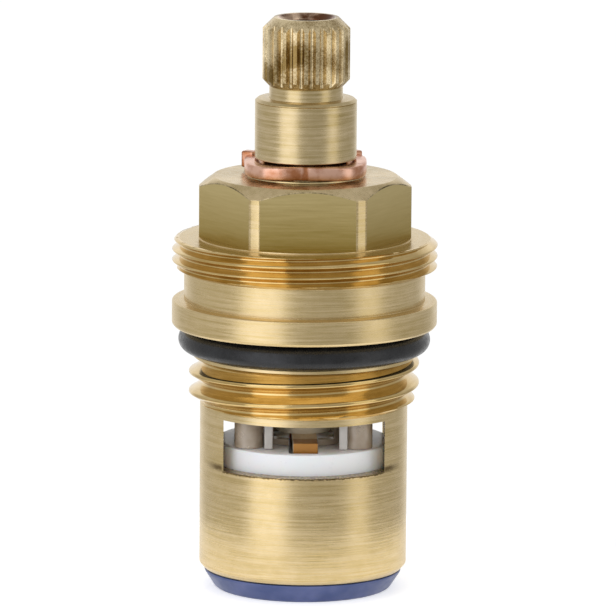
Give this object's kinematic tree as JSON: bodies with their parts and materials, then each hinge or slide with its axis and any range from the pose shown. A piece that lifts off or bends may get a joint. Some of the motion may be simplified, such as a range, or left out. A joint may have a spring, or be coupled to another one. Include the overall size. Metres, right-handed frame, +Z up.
{
  "type": "ceramic disc tap cartridge",
  "caption": "Quarter-turn brass tap valve: splined spindle, hexagon, flanged body with O-ring, windowed barrel with ceramic discs, rubber seat seal.",
  "frame": {"origin": "centre of the seat seal's lowest face", "axes": "+Z up the spindle to its splined end, Y through the two outlet windows, X along the closed disc's ports"},
  "size_m": [0.0242, 0.0242, 0.0526],
  "materials": {
    "housing": "satin",
    "spindle": "satin",
    "retaining_clip": "satin",
    "o_ring": "satin",
    "thrust_washer": "satin",
    "silencer_cage": "satin",
    "disc": "gloss",
    "seat_seal": "satin",
    "support_ring": "satin"
  },
  "bodies": {
    "body": {"housing": "housing", "body_o_ring": "o_ring", "fixed_disc": "disc", "seat_seal": "seat_seal", "seal_support_ring": "support_ring"},
    "spindle": {"spindle": "spindle", "retaining_clip": "retaining_clip", "spindle_o_ring_upper": "o_ring", "spindle_o_ring_lower": "o_ring", "thrust_washer": "thrust_washer", "silencer_cage": "silencer_cage", "moving_disc": "disc"}
  },
  "joints": [
    {"name": "spindle_turn", "type": "hinge", "parent": "body", "child": "spindle", "pos_m": [0, 0, 0.0226], "axis": [0, 0, 1], "range_deg": [0, 90]}
  ]
}
